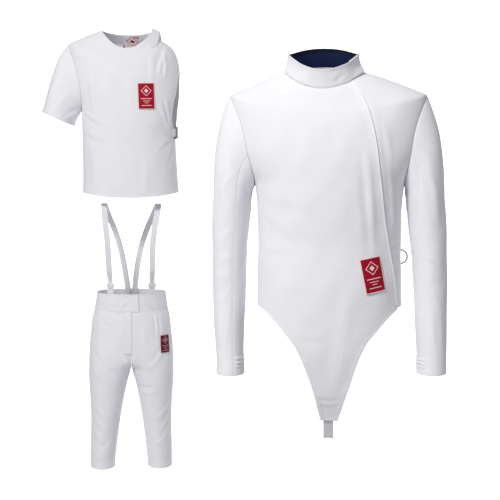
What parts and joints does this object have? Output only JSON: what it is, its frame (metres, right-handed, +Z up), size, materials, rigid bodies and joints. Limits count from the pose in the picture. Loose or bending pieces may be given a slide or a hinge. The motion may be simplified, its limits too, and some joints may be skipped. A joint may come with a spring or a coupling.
{
  "type": "fencing suit",
  "caption": "Worn-shape fencing suit: jacket with stand collar, slanting closure and crotch strap, short-sleeved underarm protector, and knee breeches with braces.",
  "frame": {"origin": "middle of the jacket's neck seam at the height of its sides, where the wearer's shoulders carry it", "axes": "+Z up, the jacket faces -Y, +X is the wearer's left; the protector and the breeches stand beside and behind it to the wearer's right, as the picture shows them, turned 8 and 11 degrees about +Z"},
  "size_m": [1.2333, 1.4032, 1.5011],
  "materials": {
    "cotton_drill": "matt white twill",
    "navy_lining": "matt navy plain weave",
    "elastic_webbing": "ribbed webbing",
    "red_label": "satin-woven label",
    "white_label": "satin-woven label",
    "nickel_wire": "nickel-plated wire",
    "grey_acetal": "moulded",
    "white_acetal": "moulded"
  },
  "bodies": {
    "garments": {"brace_left": "elastic_webbing", "brace_right": "elastic_webbing", "brace_slide_left": "white_acetal", "brace_slide_right": "white_acetal", "brace_tab_left": "elastic_webbing", "brace_tab_right": "elastic_webbing", "breeches_back_left": "cotton_drill", "breeches_back_right": "cotton_drill", "breeches_cuff_left": "cotton_drill", "breeches_cuff_right": "cotton_drill", "breeches_fly": "cotton_drill", "breeches_front_left": "cotton_drill", "breeches_front_right": "cotton_drill", "breeches_label": "red_label", "breeches_waistband_left": "cotton_drill", "breeches_waistband_right": "cotton_drill", "jacket_back": "cotton_drill", "jacket_collar": "cotton_drill", "jacket_collar_lining": "navy_lining", "jacket_crotch_strap": "elastic_webbing", "jacket_front": "cotton_drill", "jacket_label": "red_label", "jacket_placket": "cotton_drill", "jacket_ring_tab": "elastic_webbing", "jacket_side_front": "cotton_drill", "jacket_sleeve_left_under": "cotton_drill", "jacket_sleeve_left_upper": "cotton_drill", "jacket_sleeve_right_under": "cotton_drill", "jacket_sleeve_right_upper": "cotton_drill", "protector_back": "cotton_drill", "protector_buckle": "grey_acetal", "protector_front": "cotton_drill", "protector_label": "red_label", "protector_shoulder_tab": "cotton_drill", "protector_side_strap": "elastic_webbing", "protector_size_label": "white_label", "protector_sleeve": "cotton_drill"},
    "ring": {"jacket_ring": "nickel_wire"}
  },
  "joints": [
    {"name": "ring_swing", "type": "hinge", "parent": "garments", "child": "ring", "pos_m": [0.1544, 0.045, -0.415], "axis": [0, 0, 1], "range_deg": [-60, 110]}
  ]
}
